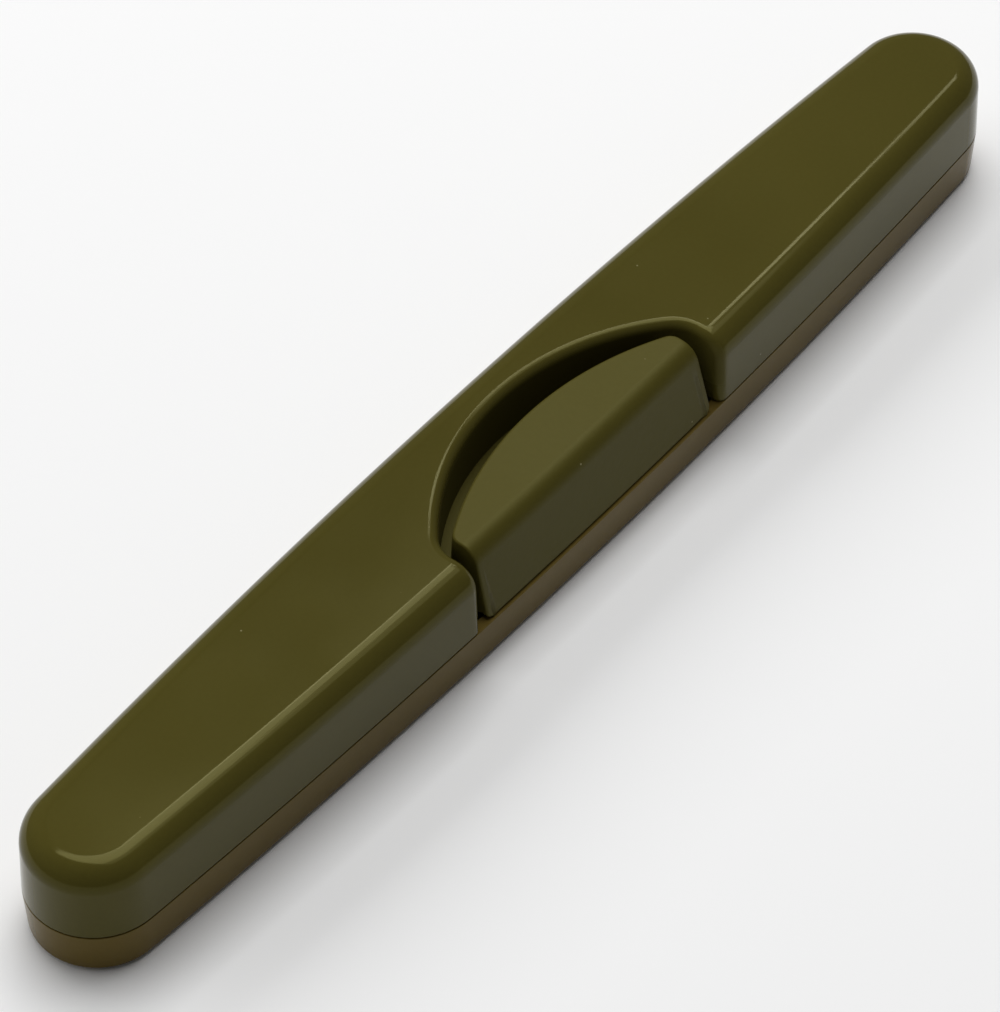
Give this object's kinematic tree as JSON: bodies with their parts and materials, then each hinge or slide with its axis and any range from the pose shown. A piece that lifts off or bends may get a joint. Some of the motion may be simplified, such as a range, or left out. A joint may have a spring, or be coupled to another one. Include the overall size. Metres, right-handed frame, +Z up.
{
  "type": "toothbrush case",
  "caption": "Slim hinged case for a toothbrush, with bowed sides, round ends and a wide sprung push button set in a scoop in the lid.",
  "frame": {"origin": "middle of the flat underside of the base", "axes": "+X along the case, +Y towards the hinges at the back with the button on the -Y side, +Z up from the underside"},
  "size_m": [0.21, 0.03, 0.02],
  "materials": {
    "base_plastic": "glossy dark khaki moulded plastic",
    "lid_plastic": "glossy dark olive moulded plastic",
    "button_plastic": "satin olive moulded plastic",
    "spring_steel": "drawn spring wire",
    "pin_steel": "drawn steel pin"
  },
  "bodies": {
    "base": {"base_shell": "base_plastic", "hinge_pin_left": "pin_steel", "hinge_pin_right": "pin_steel"},
    "lid": {"lid_shell": "lid_plastic", "button_spring_left": "spring_steel", "button_spring_right": "spring_steel"},
    "button": {"push_button": "button_plastic"}
  },
  "joints": [
    {"name": "lid_hinge", "type": "hinge", "parent": "base", "child": "lid", "pos_m": [0, 0.01412, 0.0076], "axis": [-1, 0, 0], "range_deg": [0, 140]},
    {"name": "button_press", "type": "slide", "parent": "lid", "child": "button", "axis": [0, 1, 0], "range_m": [0, 0.0016], "stiffness_N_per_m": 1200, "springref_m": -0.0012, "deforming": ["button_spring_left", "button_spring_right"]}
  ]
}
